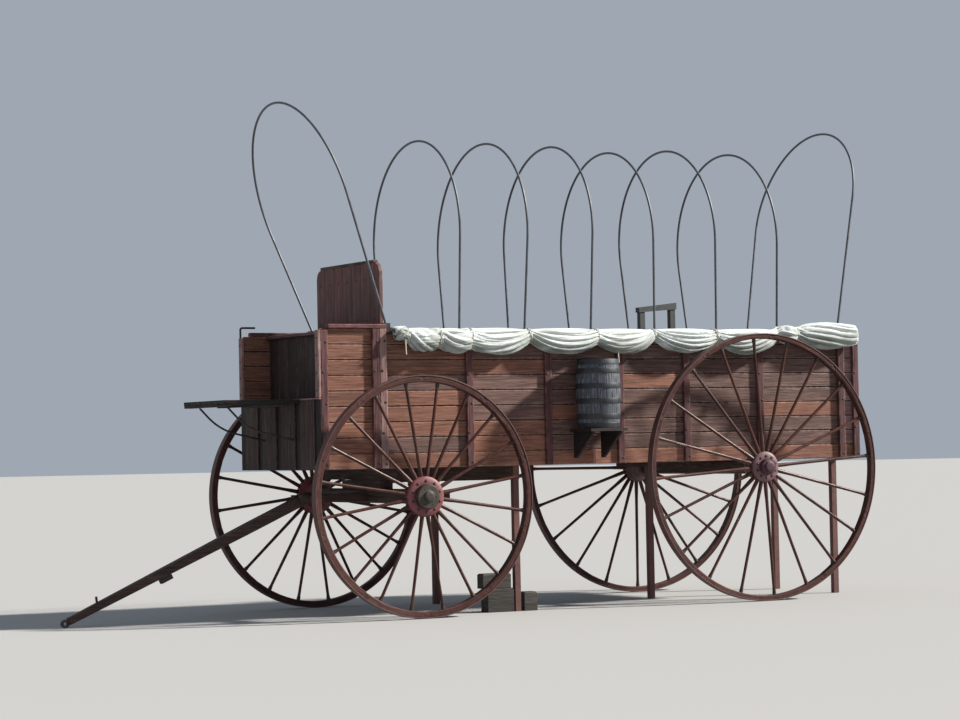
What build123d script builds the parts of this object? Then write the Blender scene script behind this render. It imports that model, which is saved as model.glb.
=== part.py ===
from build123d import *
import os
from math import sin, cos, atan2, sqrt, radians, degrees, pi

# Giant roadside covered wagon, 24 ft high over its hoops, in millimetres.
# X points forward to the tongue, Y to the wagon's left, Z up; the ground is Z = 0.
# Everything is laid out from the front axle (x = 0) and moved by X_SHIFT when it is written,
# so that the origin is on the ground under the middle of the whole wagon.
os.makedirs("parts", exist_ok=True)
X_SHIFT = 1795.0

# ---------------------------------------------------------------- running gear
WHEELBASE = 5586.0
R_FRONT, R_REAR = 1670.0, 1960.0        # wheel radii over the iron tyre
Y_RIM = 1815.0                          # middle plane of each wheel
TYRE_T, TYRE_W = 16.0, 126.0            # iron tyre: thickness, width
FELLOE_W = 112.0                        # wooden felloe: width
SPOKES = 20
R_SPOKE = 24.0
R_ARM, BORE_GAP = 60.0, 0.05            # axle arm in the hub: running fit
Y_ARM0, Y_ARM1 = 1440.0, 1925.0         # axle arm, from the beam's end to its tip
AXLE_W = 200.0                          # axle beams are this wide and high
STEER_GAP = 5.0                         # between the turning plates

# ---------------------------------------------------------------- box
Y_IN, Y_OUT, Y_POST = 1290.0, 1335.0, 1385.0   # side boards inner, outer face, post outer face
Z_BOX, Z_SILL, Z_FLOOR = 2060.0, 2275.0, 2320.0
Z_SIDE, Z_RAIL = 3930.0, 3970.0         # bed side top, rail top
Z_SEAT_SIDE, Z_SEAT_RAIL = 4000.0, 4060.0
X_REAR, X_SEAT, X_FRONT, X_NOSE = -7630.0, 330.0, 1325.0, 1370.0
Z_FOOT = 3050.0                         # footwell floor, top of the front panel
SEAT_X0, SEAT_X1, SEAT_Z = 200.0, 980.0, 4000.0
BACK_HALF, BACK_TOP, BACK_T = 1050.0, 4950.0, 60.0
POST_W = 108.0
POST_X = [487.0, -971.0, -2237.0, -3430.0, -4560.0, -5850.0, -7310.0, -7576.0]

# ---------------------------------------------------------------- tongue
TH_X, TH_Z = 980.0, 1655.0              # tongue hinge pin
TIP_X, TIP_Z = 4560.0, 56.0             # eye at the tip, resting on the ground

# bows: foot x, foot z, lean (dx per dz), middle y, middle height over the foot, radius
BOW_TUBE = 17.0
BOW_YF = 1235.0
BOWS = [(260.0, 4080.0, 0.3147, -215.0, 1884.0, 1467.0),
        (-890.0, 3900.0, -0.005, -90.0, 1492.0, 1398.0),
        (-1935.0, 3900.0, -0.025, -80.0, 1475.0, 1410.0),
        (-3030.0, 3900.0, -0.020, -50.0, 1520.0, 1350.0),
        (-4110.0, 3900.0, 0.007, -90.0, 1450.0, 1367.0),
        (-5180.0, 3900.0, 0.026, -60.0, 1490.0, 1383.0),
        (-6255.0, 3900.0, 0.010, -85.0, 1450.0, 1403.0),
        (-7338.0, 3900.0, -0.252, -300.0, 2078.0, 1292.0)]

# rolled canvas: swag ends along x, top z, bottom z (tied down to a neck between swags)
SWAGS = [(235, 35, 4060, 3860), (35, -463, 4020, 3690), (-463, -952, 4010, 3665), (-952, -1904, 4015, 3665),
         (-1904, -3012, 4015, 3660), (-3012, -3974, 4010, 3660), (-3974, -5037, 4010, 3680),
         (-5037, -6130, 4010, 3650), (-6130, -6468, 4075, 3800), (-6468, -7520, 4125, 3730)]


def box(x0, x1, y0, y1, z0, z1):
    return Pos((x0 + x1) / 2, (y0 + y1) / 2, (z0 + z1) / 2) * Box(abs(x1 - x0), abs(y1 - y0), abs(z1 - z0))


def rod(a, b, r):
    a, b = Vector(*a), Vector(*b)
    d = b - a
    return Plane(origin=a, z_dir=d) * Cylinder(r, d.length, align=(Align.CENTER, Align.CENTER, Align.MIN))


def prism_xz(points, y0, y1):
    """Outline in x and z, from y0 to y1."""
    face = make_face(Polyline(*[(x, y0, z) for x, z in points], close=True))
    return extrude(face, amount=abs(y1 - y0), dir=(0, 1 if y1 > y0 else -1, 0))


def prism_yz(points, x0, x1):
    """Outline in y and z, from x0 to x1."""
    face = make_face(Polyline(*[(x0, y, z) for y, z in points], close=True))
    return extrude(face, amount=abs(x1 - x0), dir=(1 if x1 > x0 else -1, 0, 0))


def both(shape):
    return [shape, mirror(shape, Plane.XZ)]


NODES = {}


def node(name, *solids):
    flat = []
    for s in solids:
        flat += list(s) if isinstance(s, (list, tuple)) else [s]
    NODES[name] = flat


# ================================================================ wheels
def wheel(tag, x, r, side, felloe_t, flange_r, nose_r, cap_r, phase):
    """One spoked wheel standing at x, on the left (side = 1) or right (side = -1); felloe_t is its rim's depth."""
    y = Y_RIM * side
    axis = Plane(origin=(x, 0, r), x_dir=(1, 0, 0), z_dir=(0, side, 0))

    def ring(r1, r0, y0, y1):
        body = Cylinder(r1, y1 - y0, align=(Align.CENTER, Align.CENTER, Align.MIN))
        if r0:
            body -= Cylinder(r0, y1 - y0 + 2, align=(Align.CENTER, Align.CENTER, Align.MIN)).moved(Location((0, 0, -1)))
        return body.moved(Location((0, 0, y0)))

    tyre = ring(r, r - TYRE_T, Y_RIM - TYRE_W / 2, Y_RIM + TYRE_W / 2)
    felloe = ring(r - TYRE_T, r - TYRE_T - felloe_t, Y_RIM - FELLOE_W / 2, Y_RIM + FELLOE_W / 2)
    # nave: turned barrel with a flange over the spoke roots and a nose outside
    prof = Polyline((0, 1500), (150, 1500), (165, 1540), (165, 1620), (190, 1700), (flange_r, 1750), (flange_r, 1860),
                    (flange_r - 35, 1880), (nose_r, 1880), (nose_r, 1945), (nose_r - 20, 1960), (cap_r, 1960),
                    (cap_r, 1985), (cap_r - 12, 1995), (0, 1995), close=True)
    nave = revolve(make_face(Plane.XZ * prof), Axis.Z)
    nave -= Cylinder(R_ARM + BORE_GAP, Y_ARM1 + 10 - 1400, align=(Align.CENTER, Align.CENTER, Align.MIN)).moved(Location((0, 0, 1400)))
    r_in, r_out = flange_r - 20, r - TYRE_T - felloe_t + 12
    spokes = []
    for i in range(SPOKES):
        a = radians(phase + i * 360.0 / SPOKES)
        d = (cos(a), -side * sin(a), 0)
        p = Plane(origin=(r_in * d[0], r_in * d[1], Y_RIM), z_dir=d)
        spokes.append(p * Cylinder(R_SPOKE, r_out - r_in, align=(Align.CENTER, Align.CENTER, Align.MIN)))
    loc = axis.location
    node(tag + "_tyre", loc * tyre)
    node(tag + "_felloe", loc * felloe)
    node(tag + "_hub", loc * nave)
    node(tag + "_spokes", [loc * s for s in spokes])


for tag, x, r, side, ft, fr, nr, cr, ph in (("front_left_wheel", 0.0, R_FRONT, 1, 80.0, 280.0, 175.0, 75.0, 8.6),
                                            ("front_right_wheel", 0.0, R_FRONT, -1, 80.0, 280.0, 175.0, 75.0, 10.9),
                                            ("rear_left_wheel", -WHEELBASE, R_REAR, 1, 64.0, 225.0, 120.0, 80.0, 14.0),
                                            ("rear_right_wheel", -WHEELBASE, R_REAR, -1, 64.0, 225.0, 120.0, 80.0, 0.5)):
    wheel(tag, x, r, side, ft, fr, nr, cr, ph)


# ================================================================ axles and hounds
def axle(x, z):
    beam = box(x - AXLE_W / 2, x + AXLE_W / 2, -Y_ARM0, Y_ARM0, z - AXLE_W / 2, z + AXLE_W / 2)
    beam = chamfer(beam.edges().filter_by(Axis.Y), 18)
    for s in (1, -1):
        beam += rod((x, s * (Y_ARM0 - 20), z), (x, s * (Y_ARM0 + 52), z), 95)
        beam += rod((x, s * (Y_ARM0 - 20), z), (x, s * Y_ARM1, z), R_ARM)
    return beam


KING_R = 40.0
Z_PLATE = 1895.0                        # top of the lower bolster
front_beam = axle(0.0, R_FRONT)
lower = box(-95, 95, -640, 640, R_FRONT + AXLE_W / 2, Z_PLATE)
hole = Pos(0, 0, 1800) * Cylinder(KING_R + BORE_GAP, 700)
node("front_axle", front_beam + lower - hole)
# the upper bolster carries the box and holds the kingpin
upper = box(-120, 120, -1210, 1210, Z_PLATE + STEER_GAP, Z_BOX)
node("turning_bolster", upper + rod((0, 0, 1540), (0, 0, Z_BOX - 40), KING_R))
Y_HOUND = (88.0, 188.0)
hounds = []
for s in (1, -1):
    hounds.append(box(AXLE_W / 2, TH_X + 130, s * Y_HOUND[0], s * Y_HOUND[1], 1600, 1705)
                  - rod((TH_X, -300, TH_Z), (TH_X, 300, TH_Z), 22))
back_hounds = Part() + [box(-900, -AXLE_W / 2, s * Y_HOUND[0], s * Y_HOUND[1], 1600, 1705) for s in (1, -1)]
back_hounds += box(-1010, -900, -620, 620, 1600, 1705)
node("front_hounds", hounds, back_hounds)

rear_beam = axle(-WHEELBASE, R_REAR)
node("rear_axle", rear_beam)
X_RA = -WHEELBASE + AXLE_W / 2
# short beam under the box behind the kingpin
node("king_beam", prism_xz([(-120, 1905), (-240, 1905), (-340, 1850), (-2400, 1850), (-2400, Z_BOX), (-120, Z_BOX)], -150, 150))
rear_hounds = []
for s in (1, -1):
    pts = [(X_RA, s * 560), (X_RA, s * 440), (-4330, s * 60), (-4180, s * 60)]
    f = make_face(Polyline(*[(px, py, 1990) for px, py in pts], close=True))
    rear_hounds.append(extrude(f, amount=70, dir=(0, 0, 1)))
node("rear_hounds", rear_hounds)

# ================================================================ tongue
TA = atan2(TH_Z - TIP_Z, TIP_X - TH_X)               # its slope down to the ground
TL = sqrt((TIP_X - TH_X) ** 2 + (TH_Z - TIP_Z) ** 2)
tplane = Plane(origin=(TH_X, 0, TH_Z), x_dir=(cos(TA), 0, -sin(TA)), z_dir=(sin(TA), 0, cos(TA)))


def along(shape):
    return tplane.location * shape


pole_pts = [(-95, 50), (-70, 70), (900, 72), (TL - 60, 50), (TL - 60, -42), (900, -68), (-70, -70), (-95, -50)]
pole = extrude(make_face(Polyline(*[(px, -80, pz) for px, pz in pole_pts], close=True)), amount=160, dir=(0, 1, 0))
taper = extrude(make_face(Polyline((-200, -80, -200), (1200, -80, -200), (TL, -48, -200), (TL, 48, -200), (1200, 80, -200),
                                   (-200, 80, -200), close=True)), amount=400, dir=(0, 0, 1))
pole = pole & taper
pole -= rod((0, -200, 0), (0, 200, 0), 20 + BORE_GAP)
EVENER_X, EVENER_R = 420.0, 16.0
pole -= Pos(EVENER_X, 0, 0) * Cylinder(EVENER_R, 400)
node("tongue", along(pole))
node("tongue_pin", rod((TH_X, -205, TH_Z), (TH_X, 205, TH_Z), 20)
     + rod((TH_X, 205, TH_Z), (TH_X, 222, TH_Z), 34) + rod((TH_X, -222, TH_Z), (TH_X, -205, TH_Z), 34))
# iron nose with an eye across it, a stop pin on top and a hanger lug below
EYE_R, EYE_OUT, EYE_W = 26.0, 56.0, 64.0
nose = Pos(TL, 0, 0) * Rotation(90, 0, 0) * Cylinder(EYE_OUT, EYE_W)
nose += box(TL - 60, TL, -32, 32, -40, 44)
nose -= Pos(TL, 0, 0) * Rotation(90, 0, 0) * Cylinder(EYE_R, 300)
X_LUG, X_TPIN = 2360.0, 3400.0
lug = box(X_LUG - 90, X_LUG + 90, -45, 45, -128, -64)
lug -= pole
tpin = Pos(X_TPIN, 0, 0) * rod((0, 0, 40), (-30, 0, 135), 17)
tpin -= pole
node("tongue_iron", along(nose), along(lug), along(tpin))

# ================================================================ box
sill = box(X_REAR, X_FRONT, Y_IN - 75, Y_OUT, Z_BOX, Z_SILL)
node("side_sills", both(sill))
CROSS_X = [1240, 480, -400, -1300, -2200, -3100, -4000, -4710, -5586, -6500, -7560]
node("cross_beams", [box(x - 65, x + 65, -(Y_IN - 75), Y_IN - 75, Z_BOX, Z_SILL) for x in CROSS_X])
# floor laid in three panels
node("bed_floor", [box(a, b, -Y_IN, Y_IN, Z_SILL, Z_FLOOR) for a, b in ((X_REAR, -5350), (-5350, -4450), (-4450, 200))])
side_pts = [(X_REAR, Z_SILL), (X_FRONT, Z_SILL), (X_FRONT, Z_SEAT_SIDE), (X_SEAT, Z_SEAT_SIDE), (X_SEAT, Z_SIDE), (X_REAR, Z_SIDE)]
side = prism_xz(side_pts, Y_IN, Y_OUT)
node("left_side", side)
node("right_side", mirror(side, Plane.XZ))
posts = [box(x - POST_W / 2, x + POST_W / 2, Y_OUT, Y_POST, Z_BOX, Z_SIDE if x < 0 else Z_SEAT_SIDE) for x in POST_X]
corner = box(X_FRONT - POST_W, X_FRONT, Y_OUT, Y_POST, Z_BOX, Z_SEAT_SIDE - 20)
posts.append(corner + box(X_FRONT, X_NOSE, Y_IN - 15, Y_POST, Z_FOOT, Z_SEAT_SIDE - 20))
X_TRIM = (320.0, 428.0)                 # pale stile where the seat box ends
posts.append(box(X_TRIM[0], X_TRIM[1], Y_OUT, Y_POST, Z_BOX, Z_SEAT_SIDE))
node("left_posts", posts)
node("right_posts", [mirror(p, Plane.XZ) for p in posts])
rail = box(X_REAR, X_TRIM[0] - 2, Y_IN + 10, Y_POST + 5, Z_SIDE, Z_RAIL)
seat_rail = box(X_TRIM[0], X_FRONT - POST_W, Y_IN + 5, Y_POST + 5, Z_SEAT_SIDE, Z_SEAT_RAIL)
node("top_rails", both(rail), both(seat_rail))
node("front_panel", box(X_FRONT, X_NOSE, -Y_POST, Y_POST, Z_BOX, Z_FOOT))
# bulkhead with a ledger that carries the back of the bench
node("bulkhead", box(200, 245, -Y_IN, Y_IN, Z_SILL, SEAT_Z - 45) + box(245, 330, -Y_IN, Y_IN, SEAT_Z - 135, SEAT_Z - 45))
node("driver_floor", box(245, X_FRONT, -Y_IN, Y_IN, Z_FOOT - 45, Z_FOOT))
node("seat_riser", box(875, 920, -Y_IN, Y_IN, Z_FOOT, SEAT_Z - 45))
bench = box(SEAT_X0 + BACK_T + 4, SEAT_X1, -Y_IN, Y_IN, SEAT_Z - 45, SEAT_Z)
for s in (1, -1):                       # notched round the feet of the front bow
    bench -= box(SEAT_X0, 312, s * 1190, s * 1400, SEAT_Z - 100, SEAT_Z + 100)
node("seat_board", bench)
back = box(SEAT_X0, SEAT_X0 + BACK_T, -BACK_HALF, BACK_HALF, SEAT_Z - 45, BACK_TOP)
back = fillet(back.edges().filter_by(Axis.X).group_by(Axis.Z)[-1], 160)
node("seat_back", back + box(SEAT_X0 - 14, SEAT_X0 + BACK_T + 14, -BACK_HALF + 165, BACK_HALF - 165, BACK_TOP - 12, BACK_TOP + 38))

# footboard out over the tongue, with two bent stays under it
FB_X, FB_Y, FB_Z, FB_T = 2500.0, 750.0, 2955.0, 90.0
node("footboard", box(X_NOSE, FB_X, -FB_Y, FB_Y, FB_Z, FB_Z + FB_T))
stays = []
for s in (1, -1):
    y = s * 500
    path = FilletPolyline((FB_X - 150, y, FB_Z), (2125, y, FB_Z - 232), (1900, y, FB_Z - 345), (X_NOSE, y, FB_Z - 470), radius=[850, 850])
    stay = sweep(Plane(origin=path @ 0, z_dir=path % 0) * Circle(14), path=path)
    stay -= box(X_NOSE - 60, X_NOSE, y - 60, y + 60, Z_BOX, Z_FOOT)
    stays.append(stay - box(X_NOSE, FB_X, y - 60, y + 60, FB_Z, FB_Z + FB_T))
node("footboard_stays", stays)
# small bent handle on the right-hand front post
hx, hy, hz = X_NOSE - 22, -Y_POST + 30, Z_SEAT_SIDE - 20
hp = FilletPolyline((hx, hy, hz), (hx, hy, hz + 150), (hx - 230, hy, hz + 150), radius=30)
node("post_handle", sweep(Plane(origin=hp @ 0, z_dir=hp % 0) * Circle(15), path=hp))

# tailgate on bottom hinges
GATE_X0, GATE_X1 = X_REAR, X_REAR + 45
HX, HZ = X_REAR - 28.0, Z_SILL + 22.0
GATE_Z0, GATE_Z1 = Z_FLOOR + 6, Z_SIDE - 10
node("tailgate", box(GATE_X0, GATE_X1, -Y_IN + 10, Y_IN - 10, GATE_Z0, GATE_Z1))
straps, brackets = [], []
for s in (1, -1):
    y = s * 800
    k = rod((HX, y - 30, HZ), (HX, y + 30, HZ), 16)
    k += box(GATE_X0 - 12, GATE_X0, y - 30, y + 30, GATE_Z0, GATE_Z0 + 900)
    k += box(HX - 12, GATE_X0, y - 30, y + 30, GATE_Z0, GATE_Z0 + 12)
    k += box(HX - 12, HX + 8, y - 30, y + 30, HZ, GATE_Z0 + 12)
    k -= rod((HX, y - 60, HZ), (HX, y + 60, HZ), 8 + BORE_GAP)
    straps.append(k)
    b = Part()
    for t in (1, -1):
        yy = y + t * 56
        b += rod((HX, yy - 22, HZ), (HX, yy + 22, HZ), 16)
        b += box(HX - 4, GATE_X0, yy - 22, yy + 22, Z_SILL - 12, HZ - 4)
    b += box(GATE_X0 - 14, GATE_X0, y - 78, y + 78, Z_BOX + 20, Z_SILL - 2)
    b += rod((HX, y - 86, HZ), (HX, y + 86, HZ), 8)
    brackets.append(b)
node("tailgate_straps", straps)
node("tailgate_hinges", brackets)

# ================================================================ bows
def bow(x0, z0, k, yc, sc, r):
    """Round hoop: two straight legs that run tangent into one arc, in a plane that may lean."""
    pl = Plane(origin=(x0, 0, z0), x_dir=(0, 1, 0), z_dir=(1, 0, -k))
    up = pl.y_dir.Z

    def tangent(yf, s):
        dx, dz = yf - yc, -sc
        d = sqrt(dx * dx + dz * dz)
        a = atan2(dz, dx) + s * (pi / 2 - atan2(r, sqrt(d * d - r * r)) )
        return (yc + r * cos(a), sc + r * sin(a))

    sg = 1 if up > 0 else -1
    t1, t2 = tangent(BOW_YF, 1), tangent(-BOW_YF, -1)
    path = Wire([Edge.make_line((BOW_YF, 0, 0), (t1[0], t1[1], 0)),
                 Edge.make_three_point_arc((t1[0], t1[1], 0), (yc, sc + r, 0), (t2[0], t2[1], 0)),
                 Edge.make_line((t2[0], t2[1], 0), (-BOW_YF, 0, 0))])
    ring = sweep(Plane(origin=path @ 0, z_dir=path % 0) * Circle(BOW_TUBE), path=path)
    if sg < 0:
        ring = mirror(ring, Plane.XZ)
    return pl.location * ring


node("bows", [bow(*row) for row in BOWS])
sockets = []
for row in BOWS:
    sockets += both(box(row[0] - 45, row[0] + 45, BOW_YF - 40, Y_IN, max(row[1] - 170, SEAT_Z - 45) if row[1] > SEAT_Z else row[1] - 170, row[1]))
node("bow_sockets", sockets)

# ================================================================ canvas rolled down over the top edges
def section(top, bottom, out):
    return [(1300, Z_RAIL + 3), (1300, top - 30), (1330, top), (out - 90, top), (out, top - 90), (out, bottom + 80),
            (out - 70, bottom), (1415, bottom), (1396, bottom + 45), (1396, Z_RAIL + 3)]


canvas = Part()
for i, (xa, xb, top, bottom) in enumerate(SWAGS):
    canvas += prism_yz(section(top, bottom, 1600), xb + 30, xa - 30)
    if i:
        canvas += prism_yz(section(4020, 3790, 1500), xa - 40, xa + 40)
node("canvas_left", canvas)
node("canvas_right", mirror(canvas, Plane.XZ))

# ================================================================ barrel on the left side
BX, BY, BZ0, BZ1, B_END, B_MID = -2870.0, 1692.0, 2565.0, 3550.0, 292.0, 325.0
BZM = (BZ0 + BZ1) / 2
prof = Wire([Edge.make_line((0, 0, BZ0), (B_END, 0, BZ0)),
             Edge.make_three_point_arc((B_END, 0, BZ0), (B_MID, 0, BZM), (B_END, 0, BZ1)),
             Edge.make_line((B_END, 0, BZ1), (B_END - 22, 0, BZ1)),
             Edge.make_line((B_END - 22, 0, BZ1), (B_END - 22, 0, BZ1 - 45)),
             Edge.make_line((B_END - 22, 0, BZ1 - 45), (0, 0, BZ1 - 45)),
             Edge.make_line((0, 0, BZ1 - 45), (0, 0, BZ0))])
node("barrel", Pos(BX, BY, 0) * revolve(Face(prof), Axis.Z))


shelf = box(BX - 300, BX + 300, Y_POST, 1985, BZ0 - 40, BZ0)
for dx in (-225, 225):
    pts = [(Y_POST, BZ0 - 40), (1915, BZ0 - 40), (1915, BZ0 - 80), (Y_POST + 60, 2150), (Y_POST, 2150)]
    shelf += prism_yz(pts, BX + dx - 20, BX + dx + 20)
node("barrel_shelf", shelf)

# ================================================================ grey frame standing in the bed
fr = box(-4680, -4595, -45, 45, Z_FLOOR, 4345) + box(-5215, -5130, -45, 45, Z_FLOOR, 4385)
fr += prism_xz([(-4575, 4315), (-4575, 4390), (-5235, 4465), (-5235, 4367)], -55, 55)
node("bed_frame", fr)

# ================================================================ posts that hold the parked wagon
LEG = 86.0
legs = []
for x, y in ((-1715, 1265), (-7512, 800)):
    leg = box(x - LEG / 2, x + LEG / 2, y - LEG / 2, y + LEG / 2, 0, Z_BOX)
    legs += both(leg)
legs.append(box(-4710 - LEG / 2, -4710 + LEG / 2, -LEG / 2, LEG / 2, 0, Z_BOX))
node("support_posts", legs)
# timbers stacked beside the left front post
blocks = []
for x0, x1, y0, y1, z0, z1 in ((-1650, -1235, 1085, 1300, 0, 335), (-1610, -1165, 1110, 1290, 335, 545), (-2020, -1815, 1130, 1310, 0, 268)):
    b = box(x0, x1, y0, y1, z0, z1)
    blocks.append(chamfer(b.edges().group_by(Axis.Z)[-1], 18))
node("post_blocks", blocks)

# ================================================================ write
for name, solids in NODES.items():
    out = []
    for s in solids:
        s = s.moved(Location((X_SHIFT, 0, 0)))
        out += list(s.solids())
    shape = out[0] if len(out) == 1 else Compound(children=out)
    shape.label = name
    export_step(shape, f"parts/{name}.step")
    print(name, len(out), round(sum(o.volume for o in out) / 1e9, 4))
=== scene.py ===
import math
import random
import bpy
import bmesh
from mathutils import Vector, Matrix
from mathutils import noise as mn


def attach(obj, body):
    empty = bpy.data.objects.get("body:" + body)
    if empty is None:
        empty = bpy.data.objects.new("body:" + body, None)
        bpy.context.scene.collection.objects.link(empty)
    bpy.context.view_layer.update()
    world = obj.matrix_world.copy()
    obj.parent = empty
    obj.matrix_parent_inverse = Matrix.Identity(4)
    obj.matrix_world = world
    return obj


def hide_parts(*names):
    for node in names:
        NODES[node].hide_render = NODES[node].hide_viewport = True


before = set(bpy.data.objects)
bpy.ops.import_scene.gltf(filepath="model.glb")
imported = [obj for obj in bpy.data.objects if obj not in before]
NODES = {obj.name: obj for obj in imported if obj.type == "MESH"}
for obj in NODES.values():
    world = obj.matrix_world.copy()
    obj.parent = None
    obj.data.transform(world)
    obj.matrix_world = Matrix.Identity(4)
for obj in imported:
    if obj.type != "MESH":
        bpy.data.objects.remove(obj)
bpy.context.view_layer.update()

XS = 1.795                      # front axle's place along X in the row frame
TAU = 2 * math.pi


# ------------------------------------------------------------------ camera, floor and light
CAM = Vector((17.1366 + XS, 35.8696, 2.3555))
aim = Vector((-0.47340563, -0.89355664, 0.03115579)).normalized()
right = Vector((-0.93366174, 0.35779979, -0.01597053))
right = (right - right.dot(aim) * aim).normalized()
up = right.cross(aim)
cam_data = bpy.data.cameras.new("camera")
cam_data.lens = 104.0
cam_data.sensor_width = 36.0
cam_data.sensor_fit = "HORIZONTAL"
cam_data.clip_end = 600.0
cam = bpy.data.objects.new("camera", cam_data)
rot = Matrix((right, up, -aim)).transposed()
cam.matrix_world = Matrix.Translation(CAM) @ rot.to_4x4()
bpy.context.scene.collection.objects.link(cam)
bpy.context.scene.camera = cam

world = bpy.data.worlds.new("studio")
bpy.context.scene.world = world
world.use_nodes = True
wn = world.node_tree.nodes["Background"]
wn.inputs["Color"].default_value = (0.63, 0.71, 0.81, 1)
wn.inputs["Strength"].default_value = 0.55


def lamp(name, kind, loc, target, energy, size=1.0, color=(1, 1, 1)):
    d = bpy.data.lights.new(name, kind)
    d.energy = energy
    d.color = color
    if kind == "AREA":
        d.shape = "DISK"
        d.size = size
    else:
        d.angle = size
    o = bpy.data.objects.new(name, d)
    o.location = loc
    o.rotation_euler = (Vector(target) - Vector(loc)).to_track_quat("-Z", "Y").to_euler()
    bpy.context.scene.collection.objects.link(o)
    return o


lamp("key", "SUN", (-36.0, 14.4, 29.0), (0, 0, 2.5), 9.0, 0.07, (1.0, 0.945, 0.865))
lamp("fill", "AREA", (20.0, 30.0, 9.0), (1, 0, 3), 450, 14.0, (0.93, 0.96, 1.0))


# ------------------------------------------------------------------ materials
TONE = 0.88


def new_mat(name):
    m = bpy.data.materials.new(name)
    m.use_nodes = True
    m.node_tree.nodes.clear()
    return m


class Net:
    """A little helper that adds nodes and links to one material."""

    def __init__(self, name):
        self.m = new_mat(name)
        self.t = self.m.node_tree
        self.out = self.add("ShaderNodeOutputMaterial")
        self.bsdf = self.add("ShaderNodeBsdfPrincipled")
        self.link(self.bsdf.outputs[0], self.out.inputs[0])

    def add(self, kind, **values):
        n = self.t.nodes.new(kind)
        for k, v in values.items():
            setattr(n, k, v)
        return n

    def link(self, a, b):
        self.t.links.new(a, b)

    def attr(self, name):
        n = self.add("ShaderNodeAttribute")
        n.attribute_name = name
        return n

    def coords(self, source, scale=(1, 1, 1), rotation=(0, 0, 0)):
        mp = self.add("ShaderNodeMapping")
        mp.inputs["Scale"].default_value = scale
        mp.inputs["Rotation"].default_value = rotation
        self.link(source, mp.inputs["Vector"])
        return mp.outputs[0]

    def noise(self, vec, scale, detail=4.0, rough=0.55, distort=0.0):
        n = self.add("ShaderNodeTexNoise")
        n.inputs["Scale"].default_value = scale
        n.inputs["Detail"].default_value = detail
        n.inputs["Roughness"].default_value = rough
        n.inputs["Distortion"].default_value = distort
        self.link(vec, n.inputs["Vector"])
        return n.outputs["Fac"]

    def ramp(self, fac, stops):
        r = self.add("ShaderNodeValToRGB")
        e = r.color_ramp.elements
        while len(e) < len(stops):
            e.new(0.5)
        for i, (p, c) in enumerate(stops):
            e[i].position = p
            e[i].color = (*c, 1) if len(c) == 3 else c
        self.link(fac, r.inputs[0])
        return r.outputs["Color"]

    def mix(self, a, b, fac, mode="MIX"):
        n = self.add("ShaderNodeMix", data_type="RGBA", blend_type=mode)
        for sock, val in ((n.inputs[6], a), (n.inputs[7], b)):
            if isinstance(val, tuple):
                sock.default_value = (*val, 1)
            else:
                self.link(val, sock)
        if isinstance(fac, (int, float)):
            n.inputs[0].default_value = fac
        else:
            self.link(fac, n.inputs[0])
        return n.outputs[2]

    def math(self, op, a, b=0.0):
        n = self.add("ShaderNodeMath", operation=op)
        for sock, val in ((n.inputs[0], a), (n.inputs[1], b)):
            if isinstance(val, (int, float)):
                sock.default_value = val
            else:
                self.link(val, sock)
        return n.outputs[0]

    def remap(self, v, a, b, c, d):
        n = self.add("ShaderNodeMapRange")
        for i, x in enumerate((a, b, c, d)):
            n.inputs[i + 1].default_value = x
        self.link(v, n.inputs[0])
        return n.outputs[0]

    def bump(self, height, strength, distance, below=None):
        b = self.add("ShaderNodeBump")
        b.inputs["Strength"].default_value = strength
        b.inputs["Distance"].default_value = distance
        self.link(height, b.inputs["Height"])
        if below is not None:
            self.link(below, b.inputs["Normal"])
        return b.outputs[0]

    def finish(self, color, rough, normal=None, metallic=0.0, spec=0.5):
        if isinstance(color, tuple):
            self.bsdf.inputs["Base Color"].default_value = (*color, 1)
        else:
            self.link(color, self.bsdf.inputs["Base Color"])
        if isinstance(rough, (int, float)):
            self.bsdf.inputs["Roughness"].default_value = rough
        else:
            self.link(rough, self.bsdf.inputs["Roughness"])
        self.bsdf.inputs["Metallic"].default_value = metallic
        self.bsdf.inputs["Specular IOR Level"].default_value = spec
        if normal is not None:
            self.link(normal, self.bsdf.inputs["Normal"])
        return self.m


def toned(*colours):
    return [c if c is None else tuple(TONE * v for v in c) for c in colours]


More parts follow.
